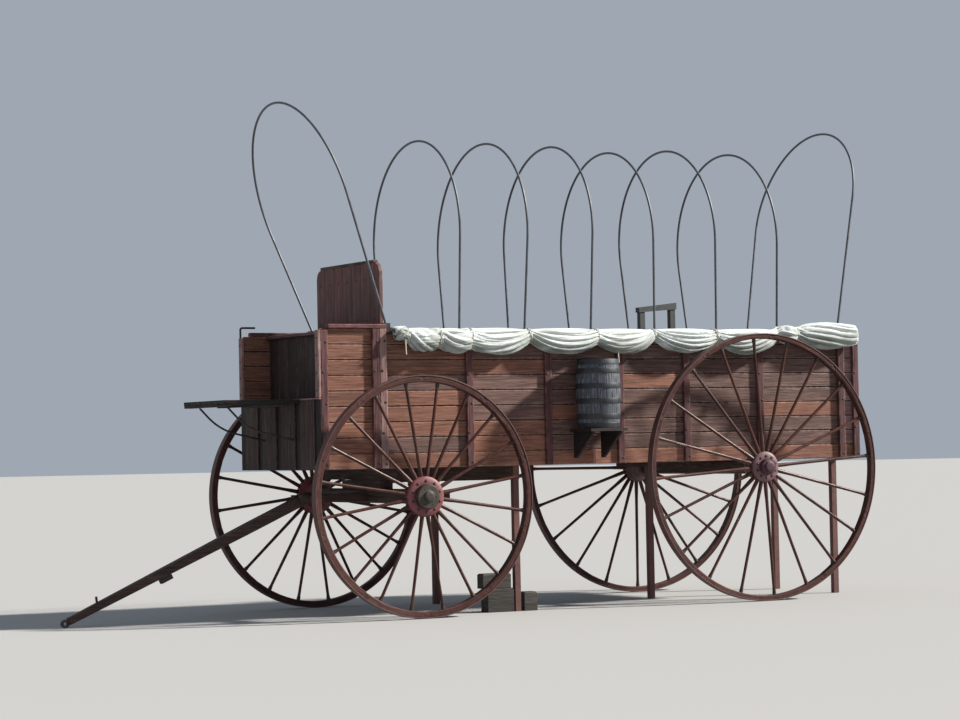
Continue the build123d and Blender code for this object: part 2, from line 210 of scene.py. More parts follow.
def wood(name, dark, mid, light, worn=None, grain=1.0, wear=0.5, stain=0.45, rough=(0.55, 0.85), axis=None, depth=0.004, spec=0.3):
    """Boards with long grain, checks, stains and worn arrises. axis gives the grain's direction on pieces without their own grain map."""
    dark, mid, light, worn = toned(dark, mid, light, worn)
    n = Net(name)
    tc = n.add("ShaderNodeTexCoord").outputs["Object"]
    if axis is None:
        src = n.attr("grain").outputs["Vector"]
        tint = n.attr("tint").outputs["Fac"]
        wear_and_crease_shade = n.attr("wear_and_crease_shade").outputs["Fac"]
    else:
        rot = {"X": (0, 0, 0), "Y": (0, 0, math.pi / 2), "Z": (0, math.pi / 2, 0)}.get(axis, axis)
        src = n.coords(tc, rotation=rot)
        tint = n.noise(n.coords(src, (0.6, 3.0, 3.0)), 1.0, 1.0)
        wear_and_crease_shade = None
    v1 = n.coords(src, (0.9 * grain, 16 * grain, 16 * grain))
    v2 = n.coords(src, (3.5 * grain, 70 * grain, 70 * grain))
    g1 = n.noise(v1, 1.6, 5.0, 0.6, 1.4)
    g2 = n.noise(v2, 1.3, 3.0, 0.6, 0.3)
    col = n.ramp(g1, [(0.25, dark), (0.5, mid), (0.75, light)])
    fine = n.ramp(g2, [(0.3, (0.62, 0.60, 0.58)), (0.62, (1.12, 1.1, 1.08))])
    col = n.mix(col, fine, 0.7, "MULTIPLY")
    tone = n.ramp(tint, [(0.0, (0.62, 0.60, 0.60)), (0.5, (1.0, 1.0, 1.0)), (1.0, (1.36, 1.28, 1.20))])
    col = n.mix(col, tone, 0.85, "MULTIPLY")
    blot = n.noise(n.coords(tc, (0.7, 0.7, 1.1)), 1.3, 5.0, 0.62, 0.6)
    stainc = n.ramp(blot, [(0.38, (0.50, 0.46, 0.46)), (0.56, (1.0, 1.0, 1.0))])
    col = n.mix(col, stainc, stain, "MULTIPLY")
    check = n.noise(n.coords(src, (1.2 * grain, 55 * grain, 55 * grain)), 1.0, 2.0, 0.5, 0.8)
    crack = n.remap(check, 0.60, 0.68, 0.0, 1.0)
    col = n.mix(col, (dark[0] * 0.35, dark[1] * 0.35, dark[2] * 0.35), n.math("MULTIPLY", crack, 0.55))
    if wear_and_crease_shade is not None and worn is not None:
        wn_ = n.noise(n.coords(tc, (7, 7, 7)), 1.6, 4.0, 0.6)
        wf = n.math("MULTIPLY", n.math("MULTIPLY", wear_and_crease_shade, n.remap(wn_, 0.42, 0.68, 0.0, 1.0)), wear)
        col = n.mix(col, worn, wf)
    r = n.remap(g1, 0.3, 0.7, rough[1], rough[0])
    h = n.math("SUBTRACT", n.math("ADD", g2, n.math("MULTIPLY", g1, 0.8)), n.math("MULTIPLY", crack, 1.4))
    return n.finish(col, r, n.bump(h, 0.55, depth), 0.0, spec)


def metal(name, base, second, rust=None, amount=0.35, rough=(0.35, 0.65), metallic=0.0, scale=9.0, bump=0.25):
    """Painted or bare iron with mottling, rust blooms and brush marks."""
    base, second, rust = toned(base, second, rust)
    n = Net(name)
    tc = n.add("ShaderNodeTexCoord").outputs["Object"]
    a = n.noise(n.coords(tc, (1, 1, 1)), scale, 5.0, 0.6, 0.4)
    b = n.noise(n.coords(tc, (1, 1, 1.6)), scale * 5, 3.0, 0.6)
    col = n.ramp(a, [(0.32, base), (0.68, second)])
    if rust is not None:
        r = n.remap(n.noise(n.coords(tc, (1, 1, 0.7)), scale * 0.55, 6.0, 0.68, 0.7), 0.52, 0.64, 0.0, 1.0)
        col = n.mix(col, rust, n.math("MULTIPLY", r, amount))
    ro = n.remap(a, 0.3, 0.7, rough[0], rough[1])
    return n.finish(col, ro, n.bump(b, bump, 0.002), metallic, 0.45)


# colours are the weathered stain and paint of the wagon; the front panel, seat riser, footboard and barrel shelf are
# darkened with painted shade, and the brighter orange board stands partly for painted sunlight
M = {}
M["plank"] = wood("plank_red_wood", (0.060, 0.034, 0.031), (0.140, 0.078, 0.068), (0.235, 0.142, 0.122), (0.36, 0.26, 0.22), 1.0, 0.55, 0.5)
# brighter orange board for the seat box, the sill and part of the side bays; in the side bays it is partly painted
# sunlight
M["seatplank"] = wood("bright_orange_plank_wood", (0.115, 0.049, 0.034), (0.232, 0.102, 0.069), (0.330, 0.158, 0.108), (0.43, 0.28, 0.22), 1.0, 0.5, 0.35)
M["post"] = wood("post_red_wood", (0.042, 0.016, 0.020), (0.095, 0.036, 0.040), (0.155, 0.062, 0.064), (0.27, 0.14, 0.13), 1.0, 0.6, 0.4)
M["stile"] = wood("pale_stile_wood", (0.125, 0.065, 0.066), (0.235, 0.140, 0.140), (0.33, 0.215, 0.205), (0.46, 0.35, 0.32), 1.0, 0.6, 0.35)
M["joint"] = wood("joint_shadow_wood", (0.010, 0.006, 0.006), (0.018, 0.011, 0.010), (0.028, 0.017, 0.015), None, 1.0, 0.0, 0.3)
M["deck"] = wood("deck_wood", (0.085, 0.058, 0.045), (0.20, 0.145, 0.115), (0.33, 0.25, 0.20), (0.45, 0.37, 0.30), 1.0, 0.5, 0.5)
# painted shade: the front panel and the seat riser are made far darker than the side boards, for faces turned forward
# away from the light
M["dark"] = wood("shaded_dark_panel_wood", (0.021, 0.011, 0.011), (0.048, 0.026, 0.024), (0.084, 0.046, 0.041), (0.20, 0.125, 0.10), 1.0, 0.5, 0.5)
# painted shade: very dark wood for the front panel's recessed lining and for the footboard, which is seen from below
M["black"] = wood("black_panel_wood", (0.010, 0.007, 0.008), (0.020, 0.014, 0.015), (0.034, 0.024, 0.024), (0.07, 0.05, 0.045), 1.0, 0.4, 0.4)
M["gear"] = wood("gear_wood", (0.026, 0.015, 0.013), (0.062, 0.036, 0.030), (0.115, 0.068, 0.055), (0.23, 0.155, 0.125), 1.0, 0.6, 0.5)
# painted shade: the barrel shelf and its brackets are made very dark for the shade under the barrel
M["shelf_shadeX"] = wood("black_wood_x", (0.010, 0.007, 0.008), (0.022, 0.015, 0.016), (0.040, 0.028, 0.028), None, 1.0, 0.5, 0.4, axis="X")
M["gearX"] = wood("gear_wood_x", (0.026, 0.015, 0.013), (0.062, 0.036, 0.030), (0.115, 0.068, 0.055), None, 1.0, 0.6, 0.5, axis="X")
M["gearY"] = wood("gear_wood_y", (0.026, 0.015, 0.013), (0.062, 0.036, 0.030), (0.115, 0.068, 0.055), None, 1.0, 0.6, 0.5, axis="Y")
M["wheel"] = wood("wheel_wood", (0.030, 0.010, 0.010), (0.064, 0.023, 0.021), (0.105, 0.041, 0.037), (0.20, 0.10, 0.085), 1.0, 0.35, 0.35, (0.44, 0.64), spec=0.18)
M["spoke"] = wood("spoke_wood", (0.024, 0.007, 0.005), (0.054, 0.016, 0.011), (0.098, 0.036, 0.025), (0.20, 0.10, 0.08), 1.0, 0.3, 0.3, (0.30, 0.46), spec=0.26)
M["seat"] = wood("seat_red_wood", (0.056, 0.022, 0.023), (0.118, 0.046, 0.044), (0.178, 0.076, 0.069), (0.30, 0.17, 0.145), 1.0, 0.5, 0.4, (0.45, 0.7))
M["barrel"] = wood("barrel_wood", (0.022, 0.032, 0.046), (0.046, 0.060, 0.082), (0.090, 0.106, 0.132), (0.34, 0.35, 0.38), 1.0, 0.5, 0.35, (0.50, 0.66), spec=0.5)
M["hub"] = metal("hub_rose_paint", (0.135, 0.028, 0.035), (0.200, 0.050, 0.060), (0.075, 0.028, 0.022), 0.5, (0.45, 0.65))
M["hub_rear"] = metal("hub_grey_rose_paint", (0.105, 0.048, 0.056), (0.185, 0.095, 0.105), (0.070, 0.034, 0.028), 0.5, (0.45, 0.7))
M["nose"] = metal("hub_olive_iron", (0.022, 0.017, 0.012), (0.046, 0.036, 0.026), (0.060, 0.030, 0.018), 0.45, (0.45, 0.65))
M["nose_rear"] = metal("hub_purple_iron", (0.036, 0.008, 0.018), (0.070, 0.020, 0.036), (0.065, 0.026, 0.024), 0.45, (0.4, 0.65))
M["tyre"] = metal("tyre_iron", (0.060, 0.025, 0.023), (0.110, 0.050, 0.044), (0.120, 0.052, 0.032), 0.5, (0.48, 0.7), 0.0, 7.0)
M["iron"] = metal("black_iron", (0.028, 0.026, 0.026), (0.060, 0.052, 0.048), (0.12, 0.055, 0.030), 0.55, (0.4, 0.7), 0.4)
M["hoop"] = metal("hoop_paint", (0.060, 0.070, 0.084), (0.105, 0.118, 0.136), (0.13, 0.07, 0.045), 0.3, (0.35, 0.6), 0.3)
M["frame"] = metal("frame_grey_paint", (0.036, 0.041, 0.042), (0.068, 0.076, 0.076), (0.10, 0.055, 0.035), 0.4, (0.5, 0.75))
M["leg"] = metal("leg_primer", (0.078, 0.027, 0.025), (0.130, 0.050, 0.042), (0.15, 0.065, 0.038), 0.5, (0.5, 0.75))
M["block"] = wood("block_wood", (0.018, 0.016, 0.015), (0.042, 0.037, 0.034), (0.085, 0.075, 0.068), None, 1.0, 0.5, 0.5, axis="X")
M["band"] = metal("barrel_band_iron", (0.015, 0.018, 0.024), (0.033, 0.038, 0.048), (0.075, 0.040, 0.028), 0.35, (0.45, 0.62), 0.2)


def canvas_material():
    n = Net("white_canvas")
    tc = n.add("ShaderNodeTexCoord").outputs["Object"]
    # the tone attribute holds how far down the roll a point lies; below it drives the streaks, the grime and the
    # painted underside shade
    low = n.attr("tint").outputs["Fac"]
    src = n.attr("grain").outputs["Vector"]
    wx = n.add("ShaderNodeTexWave", wave_type="BANDS", bands_direction="X")
    wy = n.add("ShaderNodeTexWave", wave_type="BANDS", bands_direction="Y")
    for w in (wx, wy):
        w.inputs["Scale"].default_value = 110.0
        w.inputs["Distortion"].default_value = 0.6
        n.link(src, w.inputs["Vector"])
    weave = n.math("MULTIPLY", wx.outputs["Fac"], wy.outputs["Fac"])
    grime = n.noise(n.coords(tc, (0.8, 1.4, 2.2)), 1.8, 6.0, 0.66, 0.8)
    col = n.ramp(grime, [(0.28, (0.42, 0.45, 0.41)), (0.42, (0.56, 0.59, 0.58)), (0.56, (0.62, 0.655, 0.665))])
    streak = n.noise(n.coords(src, (1.0, 9.0, 1.0)), 1.7, 4.0, 0.6, 0.5)
    col = n.mix(col, n.ramp(streak, [(0.33, (0.72, 0.77, 0.72)), (0.52, (1.0, 1.0, 1.0))]), n.remap(low, 0.0, 1.0, 0.25, 0.7), "MULTIPLY")
    fine = n.noise(n.coords(src, (1.6, 26.0, 1.0)), 1.6, 4.0, 0.6, 0.4)
    col = n.mix(col, n.ramp(fine, [(0.40, (0.60, 0.64, 0.60)), (0.54, (1.0, 1.0, 1.0))]), 0.45, "MULTIPLY")
    # painted shade: the fold valleys of the cloth are darkened toward grey-green
    crease_shade = n.math("MULTIPLY", n.attr("wear_and_crease_shade").outputs["Fac"], n.remap(n.noise(n.coords(tc, (1.2, 3.0, 3.0)), 2.4, 4.0, 0.6, 0.5), 0.32, 0.60, 0.25, 1.0))
    col = n.mix(col, (0.36, 0.40, 0.37), n.math("MULTIPLY", crease_shade, 0.75), "MULTIPLY")
    # painted shade: the lower turn and the inside of the roll are mixed toward dark grey-green, partly grime and partly
    # the shade under the roll
    grime_and_under_shade = n.math("MULTIPLY", low, n.remap(n.noise(n.coords(tc, (0.9, 1.6, 2.0)), 1.6, 4.0, 0.6, 0.5), 0.34, 0.56, 0.15, 1.0))
    col = n.mix(col, (0.105, 0.125, 0.100), n.math("MULTIPLY", grime_and_under_shade, 0.84), "MIX")
    n.bsdf.inputs["Sheen Weight"].default_value = 0.25
    n.bsdf.inputs["Sheen Roughness"].default_value = 0.6
    soft = n.noise(n.coords(tc, (3, 3, 7)), 4.0, 4.0, 0.6, 0.6)
    b = n.bump(soft, 0.35, 0.02)
    return n.finish(col, 0.86, n.bump(weave, 0.25, 0.0015, b), 0.0, 0.2)


M["canvas"] = canvas_material()
M["tie"] = metal("tie_line", (0.50, 0.50, 0.44), (0.66, 0.66, 0.60), (0.35, 0.33, 0.27), 0.4, (0.8, 0.95), 0.0, 40.0)


# ------------------------------------------------------------------ mesh code
class Build:
    """Collects closed shells with a grain map, a tone and an arris value, then makes one object of them. On the canvas
    the tone holds how far down the roll a point lies, used for grime and painted underside shade, and the arris value
    holds the painted shade of the fold valleys.
    """

    def __init__(self):
        self.v, self.f, self.g, self.t, self.e, self.mi = [], [], [], [], [], []

    def add(self, verts, faces, grain, tint, wear_and_crease_shade=None, mat=0):
        o = len(self.v)
        self.v += verts
        self.f += [tuple(o + i for i in f) for f in faces]
        self.g += grain
        self.t += tint if isinstance(tint, list) else [tint] * len(verts)
        self.e += wear_and_crease_shade if wear_and_crease_shade is not None else [0.0] * len(verts)
        self.mi += [mat] * len(faces)

    def make(self, name, mats, sharp=35.0):
        me = bpy.data.meshes.new(name)
        me.from_pydata([(x + XS, y, z) for x, y, z in self.v], [], self.f)
        for key, kind, data in (("grain", "FLOAT_VECTOR", self.g), ("tint", "FLOAT", self.t), ("wear_and_crease_shade", "FLOAT", self.e)):
            a = me.attributes.new(key, kind, "POINT")
            if kind == "FLOAT":
                a.data.foreach_set("value", data)
            else:
                a.data.foreach_set("vector", [c for p in data for c in p])
        me.polygons.foreach_set("material_index", self.mi)
        bm = bmesh.new()
        bm.from_mesh(me)
        bmesh.ops.recalc_face_normals(bm, faces=bm.faces)
        bm.to_mesh(me)
        bm.free()
        for m in mats if isinstance(mats, (list, tuple)) else [mats]:
            me.materials.append(m)
        me.polygons.foreach_set("use_smooth", [True] * len(me.polygons))
        me.set_sharp_from_angle(angle=math.radians(sharp))
        ob = bpy.data.objects.new(name, me)
        bpy.context.scene.collection.objects.link(ob)
        return ob


def done(ob, body, slot, *nodes):
    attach(ob, body)
    if nodes:
        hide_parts(*nodes)
    return ob


def rings_faces(rings, n, closed=False):
    faces = []
    m = rings if closed else rings - 1
    for i in range(m):
        a, b = i * n, ((i + 1) % rings) * n
        for j in range(n):
            k = (j + 1) % n
            faces.append((a + j, a + k, b + k, b + j))
    return faces


def board(B, lo, hi, axis, rnd, tint=None, mat=0, chamfer=0.006, inset=0.018, warp=0.0015, step=0.7, sag=0.0):
    """One sawn board between two corners, with grain along axis, eased arrises and a little warp."""
    lo, hi = list(lo), list(hi)
    ax = "XYZ".index(axis)
    ua, va = [i for i in range(3) if i != ax]
    L = hi[ax] - lo[ax]
    w, t = hi[ua] - lo[ua], hi[va] - lo[va]
    c = min(chamfer, 0.22 * min(w, t))
    ins = min(inset, 0.3 * min(w, t))
    hw, ht = w / 2, t / 2
    prof = []
    for sx, sy, along in ((1, 1, 0), (-1, 1, 1), (-1, -1, 0), (1, -1, 1)):
        a = [(sx * (hw - c - ins), sy * ht, 0.0), (sx * (hw - c), sy * ht, 1.0), (sx * hw, sy * (ht - c), 1.0), (sx * hw, sy * (ht - c - ins), 0.0)]
        prof += a if along else a[::-1]
    # order the profile round the section by angle so that it never crosses itself
    prof.sort(key=lambda p: math.atan2(p[1] / ht, p[0] / hw))
    n = len(prof)
    k = max(2, int(L / step) + 1)
    stations = [0.0, c] + [c + (L - 2 * c) * i / k for i in range(1, k)] + [L - c, L]
    tt = rnd.random() if tint is None else tint
    off = (rnd.uniform(0, 40), rnd.uniform(0, 40), rnd.uniform(0, 40))
    wu, wv = rnd.uniform(-warp, warp), rnd.uniform(-warp, warp)
    verts, grain, wear_and_crease_shade = [], [], []
    for i, s in enumerate(stations):
        end = i in (0, len(stations) - 1)
        shrink = c if end else 0.0
        arc = math.sin(math.pi * s / L)
        for pu, pv, e in prof:
            pu2 = max(-(hw - shrink), min(hw - shrink, pu))
            pv2 = max(-(ht - shrink), min(ht - shrink, pv))
            p = [0, 0, 0]
            p[ax] = lo[ax] + s
            p[ua] = lo[ua] + hw + pu2 + wu * arc
            p[va] = lo[va] + ht + pv2 + wv * arc
            verts.append(tuple(p))
            grain.append((s + off[0], pu + off[1], pv + off[2]))
            wear_and_crease_shade.append(1.0 if end else e)
    faces = rings_faces(len(stations), n)
    faces.append(tuple(range(n))[::-1])
    faces.append(tuple(len(verts) - n + j for j in range(n)))
    B.add(verts, faces, grain, tt, wear_and_crease_shade, mat)


def frames_along(points, closed=False):
    """Parallel-transported frames along a line of points."""
    pts = [Vector(p) for p in points]
    m = len(pts)
    tang = []
    for i in range(m):
        a = pts[i - 1] if (i or closed) else pts[i]
        b = pts[(i + 1) % m] if (i < m - 1 or closed) else pts[i]
        tang.append((b - a).normalized())
    ref = Vector((0, 0, 1)) if abs(tang[0].z) < 0.9 else Vector((0, 1, 0))
    u = (ref - ref.dot(tang[0]) * tang[0]).normalized()
    out = []
    for p, t in zip(pts, tang):
        u = (u - u.dot(t) * t).normalized()
        out.append((p, t, u, t.cross(u)))
    return out


def tube(B, points, radius, n=12, mat=0, tint=0.5, caps=True, closed=False, wear_and_crease_shade=0.0, flatten=1.0):
    fr = frames_along(points, closed)
    verts, grain, ed = [], [], []
    run = 0.0
    last = None
    for i, (p, t, u, w) in enumerate(fr):
        run += (p - last).length if last is not None else 0.0
        last = p
        r = radius[i] if isinstance(radius, (list, tuple)) else radius
        for j in range(n):
            a = TAU * j / n
            q = p + u * (r * math.cos(a) * flatten) + w * (r * math.sin(a))
            verts.append(tuple(q))
            grain.append((run, r * math.cos(a), r * math.sin(a)))
            ed.append(wear_and_crease_shade)
    faces = rings_faces(len(fr), n, closed)
    if caps and not closed:
        faces.append(tuple(range(n))[::-1])
        faces.append(tuple(len(verts) - n + j for j in range(n)))
    B.add(verts, faces, grain, tint, ed, mat)


def lathe(B, prof, place, n=64, mat=0, tint=0.5, wob=None, wear_and_crease_shade=None):
    """Turned shape: prof is (radius, along) from one end to the other; place maps (x, y across, along) to the wagon."""
    verts, grain, ed = [], [], []
    for i, (r, s) in enumerate(prof):
        for j in range(n):
            a = TAU * j / n
            rr = r * (wob(a, s) if wob else 1.0)
            verts.append(place(rr * math.cos(a), rr * math.sin(a), s))
            grain.append((s * 1.0, rr * a if r > 0 else 0.0, rr))
            ed.append(wear_and_crease_shade[i] if wear_and_crease_shade else 0.0)
    faces = rings_faces(len(prof), n)
    faces.append(tuple(range(n))[::-1])
    faces.append(tuple(len(verts) - n + j for j in range(n)))
    B.add(verts, faces, grain, tint, ed, mat)


def bolt(B, p, nrm, r=0.018, h=0.012, mat=0, washer=True):
    """Domed bolt head on its washer."""
    nrm = Vector(nrm).normalized()
    u = nrm.orthogonal().normalized()
    w = nrm.cross(u)
    p = Vector(p)

    def place(a, b, s):
        return tuple(p + u * a + w * b + nrm * s)

    prof = [(r * 1.6, 0.0), (r * 1.6, 0.003), (r * 1.0, 0.004)] if washer else [(r, 0.0)]
    prof += [(r, h * 0.35), (r * 0.92, h * 0.66), (r * 0.62, h * 0.92), (r * 0.2, h)]
    lathe(B, prof, place, 14, mat, 0.5)


# ------------------------------------------------------------------ wheels
def wheel(tag, x, R, side, FD, flange, nose, cap, phase, seed):
    rnd = random.Random(seed)
    T, FW, TW, Y = 0.016, 0.112, 0.126, 1.815

    def place(a, b, s):
        return (x + a, side * s, R + b)

    # iron tyre with eased edges
    B = Build()
    n = 192
    sec = [(R - T, -TW / 2 + .003), (R - T, TW / 2 - .003), (R - T + .003, TW / 2), (R - .005, TW / 2), (R, TW / 2 - .006), (R, -TW / 2 + .006), (R - .005, -TW / 2), (R - T + .003, -TW / 2)]
    verts, grain, ed = [], [], []
    for i in range(n):
        a = TAU * i / n
        for r, s in sec:
            verts.append(place(r * math.cos(a), r * math.sin(a), Y + s))
            grain.append((a * R, r, s))
            ed.append(1.0)
    B.add(verts, rings_faces(n, len(sec), True), grain, 0.5, ed)
    done(B.make(tag + "_tyre_iron", M["tyre"]), tag, "tyre_iron", tag + "_tyre")

    # felloe: ten sawn segments with tight joints and a pair of bolts at each
    B = Build()
    segs = 10
    Ri, Ro = R - T - FD, R - T
    off = math.radians(phase) + TAU / 40
    for sgm in range(segs):
        a0, a1 = off + TAU * sgm / segs, off + TAU * (sgm + 1) / segs
        gap = 0.0014 / R
        c, ins = 0.010, 0.014
        hw = FW / 2
        sec = [(Ro - .0005, -hw + c, 0.3), (Ro - .0005, hw - c, 0.3), (Ro - c * .5, hw, 1.0), (Ri + c + ins, hw, 0.0), (Ri + c, hw - .001, 1.0), (Ri, hw - c, 1.0), (Ri, hw - c - ins, 0.0),
               (Ri, -hw + c + ins, 0.0), (Ri, -hw + c, 1.0), (Ri + c, -hw + .001, 1.0), (Ri + c + ins, -hw, 0.0), (Ro - c * .5, -hw, 1.0)]
        k = 18
        verts, grain, ed = [], [], []
        tt, o3 = rnd.uniform(0.25, 0.75), rnd.uniform(0, 30)
        for i in range(k + 1):
            a = a0 + gap + (a1 - a0 - 2 * gap) * i / k
            sh = 0.003 if i in (0, k) else 0.0
            for r, s, e in sec:
                r2 = min(max(r, Ri + sh), Ro - sh)
                s2 = max(-hw + sh, min(hw - sh, s))
                verts.append(place(r2 * math.cos(a), r2 * math.sin(a), Y + s2))
                grain.append((a * R + o3, r2 + o3, s2))
                ed.append(1.0 if sh else e)
        faces = rings_faces(k + 1, len(sec))
        faces.append(tuple(range(len(sec)))[::-1])
        faces.append(tuple(len(verts) - len(sec) + j for j in range(len(sec))))
        B.add(verts, faces, grain, tt, ed)
        for da in (-0.030, 0.030):
            a = a0 + da * 1.67 / R
            rm = (Ri + Ro) / 2
            bolt(B, place(rm * math.cos(a), rm * math.sin(a), Y + hw - .001), (0, side, 0), 0.010, 0.007, 1, False)
    done(B.make(tag + "_felloe_wood", [M["wheel"], M["iron"]]), tag, "wheel_red", tag + "_felloe")

    # spokes: square-shouldered at the nave, turned and tapered to the felloe
    B = Build()
    r0, r1 = flange - 0.02, Ri + 0.012
    for i in range(20):
        a = math.radians(phase + 18 * i)
        d = Vector((math.cos(a), 0, math.sin(a)))
        cpt = Vector((x, 0, R))
        L = r1 - r0
        st = [(0.0, .030), (0.05, .030), (0.10, .0285), (0.16, .0245), (0.30, .0232), (0.6, .0222), (0.86, .0215), (0.93, .0222), (0.965, .0262), (1.0, .0262)]
        pts = []
        rr = []
        for s, r in st:
            q = cpt + d * (r0 + L * s)
            pts.append((q.x, side * (Y + 0.004 * math.sin(math.pi * s) * rnd.uniform(-1, 1)), q.z))
            rr.append(r)
        o = len(B.v)
        tube(B, pts, rr, 14, 0, rnd.uniform(0.15, 0.95), True)
        for j in range(o, len(B.v)):
            g = B.g[j]
            B.g[j] = (g[0] + 7 * i, g[1] + i, g[2])
            B.e[j] = 0.55 if mn.noise(Vector((g[0] * 2, i * 3.1, side))) > 0.0 else 0.15
        # iron ferrule where the spoke enters the felloe
        q0, q1 = cpt + d * (r1 - 0.055), cpt + d * (r1 - 0.014)
        tube(B, [(q0.x, side * Y, q0.z), (q1.x, side * Y, q1.z)], 0.0285, 14, 1, 0.5, True)
    done(B.make(tag + "_spokes_wood", [M["spoke"], M["iron"]]), tag, "wheel_red", tag + "_spokes")

    # hub: turned nave, banded, with a bolted flange over the spoke roots and a dark nose
    B = Build()
    back = [(0.0655, 1.500), (.145, 1.500), (.152, 1.506), (.156, 1.530), (.162, 1.540), (.165, 1.560), (.165, 1.612), (.170, 1.628), (.188, 1.690), (.192, 1.715), (.200, 1.735)]
    lathe(B, back + [(flange - .03, 1.7495), (flange - .004, 1.7515), (flange, 1.757), (flange, 1.853), (flange - .006, 1.861), (flange - .033, 1.8795), (nose + .012, 1.8800), (0.01, 1.8802)],
          place, 72, 0)
    lathe(B, [(0.166, 1.575), (.1685, 1.577), (.1685, 1.605), (.166, 1.607)], place, 64, 1)
    lathe(B, [(flange - .001, 1.775), (flange + 0.0, 1.7775), (flange + 0.0, 1.7955), (flange - .001, 1.798)], place, 72, 1)
    lathe(B, [(nose + .001, 1.8795), (nose, 1.884), (nose, 1.936), (nose - .005, 1.945), (nose - .018, 1.9595), (cap + .03, 1.9600), (cap + .004, 1.9605), (cap, 1.963), (cap, 1.980), (cap - .004, 1.989), (cap - .016, 1.9945), (cap - .05, 1.9950)],
          place, 64, 1)
    for i in range(10):
        a = TAU * (i + 0.5) / 10
        rb = (flange - 0.036 + nose) / 2 + 0.006
        bolt(B, place(rb * math.cos(a), rb * math.sin(a), 1.8795), (0, side, 0), 0.0145, 0.012, 1)
    for i in range(6):
        a = TAU * i / 6
        rb = (nose - .018 + cap) / 2 + .004
        bolt(B, place(rb * math.cos(a), rb * math.sin(a), 1.9598), (0, side, 0), 0.008, 0.007, 1, False)
    paint = [M["hub"], M["nose"]] if tag.startswith("front") else [M["hub_rear"], M["nose_rear"]]
    done(B.make(tag + "_hub_turned", paint, 40), tag, "hub_red", tag + "_hub")


WHEELS = (("front_left_wheel", 0.0, 1.670, 1, .080, .280, .175, .075, 8.6, 11), ("front_right_wheel", 0.0, 1.670, -1, .080, .280, .175, .075, 10.9, 12),
          ("rear_left_wheel", -5.586, 1.960, 1, .064, .225, .120, .080, 14.0, 13), ("rear_right_wheel", -5.586, 1.960, -1, .064, .225, .120, .080, 0.5, 14))
for row in WHEELS:
    wheel(*row)

# ------------------------------------------------------------------ box
Y_IN, Y_OUT, Y_POST = 1.290, 1.335, 1.385
POST_X = [1.271, 0.487, -0.971, -2.237, -3.430, -4.560, -5.850, -7.310, -7.576]
BAYS = [(1.325, 0.380), (0.380, -0.971), (-0.971, -2.237), (-2.237, -3.430), (-3.430, -4.560), (-4.560, -5.850), (-5.850, -7.310), (-7.310, -7.630)]
ROW = 0.215625                  # one board's height, from the seat's side top down to the sill
GAP = 0.0055                    # half of the open joint between two boards
for side, nm in ((1, "left"), (-1, "right")):
    rnd = random.Random(31 if side > 0 else 32)
    B = Build()
    for bi, (xa, xb) in enumerate(BAYS):
        for r in range(8):
            z0, z1 = 4.000 - ROW * (r + 1), 4.000 - ROW * r
            if r == 0 and bi:
                z1 = 3.930
            y0, y1 = (Y_IN, Y_OUT) if side > 0 else (-Y_OUT, -Y_IN)
            jy = rnd.uniform(0.0, 0.005)
            lo = (xb + 0.0015, y0 + (jy if side < 0 else 0), z0 + (GAP if r < 7 else 0.0005))
            hi = (xa - 0.0015, y1 - (jy if side > 0 else 0), z1 - (GAP if r else 0.0005))
            # the front bays take the brighter orange board most often and its share falls toward the rear: partly the
            # boards' own mixed colours, partly painted sunlight on the front bays and painted shade on the middle ones
            board(B, lo, hi, "X", rnd, rnd.uniform(0.25, 0.7), 3 if bi == 7 else (1 if bi == 0 or rnd.random() < (0, .75, .30, .10, .05, .12, .12)[bi] else 0), 0.008, 0.022, 0.002, 0.40)
            if r:
                board(B, (lo[0], side * 1.3115 - .006, z1 - 0.014), (hi[0], side * 1.3115 + .006, z1 + 0.014), "X", rnd, 0.5, 2, 0.001, 0.002, 0.0, 2.0)
    done(B.make(nm + "_side_boards", [M["plank"], M["seatplank"], M["joint"], M["stile"]]), "wagon", "plank_red", nm + "_side")

    # posts with bolts through every board, and a pale stile where the seat box ends
    B = Build()
    for i, px in enumerate(POST_X + [0.374]):
        w = 0.108
        pale = px == 0.374
        y0, y1 = (Y_OUT + .0005, Y_POST) if side > 0 else (-Y_POST, -Y_OUT - .0005)
        top = 3.980 if i == 0 else (3.9995 if px > 0 else 3.929)
        board(B, (px - w / 2, y0, 2.060), (px + w / 2, y1, top), "Z", rnd, rnd.uniform(0.3, 0.7), 2 if pale else 0, 0.009, 0.02, 0.0015, 0.5)
        for k in range(5):
            zz = 2.13 + k * (top - 2.30) / 4 + rnd.uniform(-.01, .01)
            bolt(B, (px + (0.022 if k % 2 else -0.022), side * (Y_POST - .0005), zz), (0, side, 0), 0.012, 0.009, 1)
    y0, y1 = (Y_IN - .015, Y_POST) if side > 0 else (-Y_POST, -Y_IN + .015)
    board(B, (1.3255, y0, 3.052), (1.3695, y1, 3.980), "Z", rnd, 0.7, 2, 0.008, 0.02, 0.001, 0.4)
    for k in range(4):
        bolt(B, (1.3692, side * 1.33, 3.15 + 0.24 * k), (1, 0, 0), 0.011, 0.008, 1)
    done(B.make(nm + "_post_timbers", [M["post"], M["iron"], M["stile"]]), "wagon", "post_red", nm + "_posts")

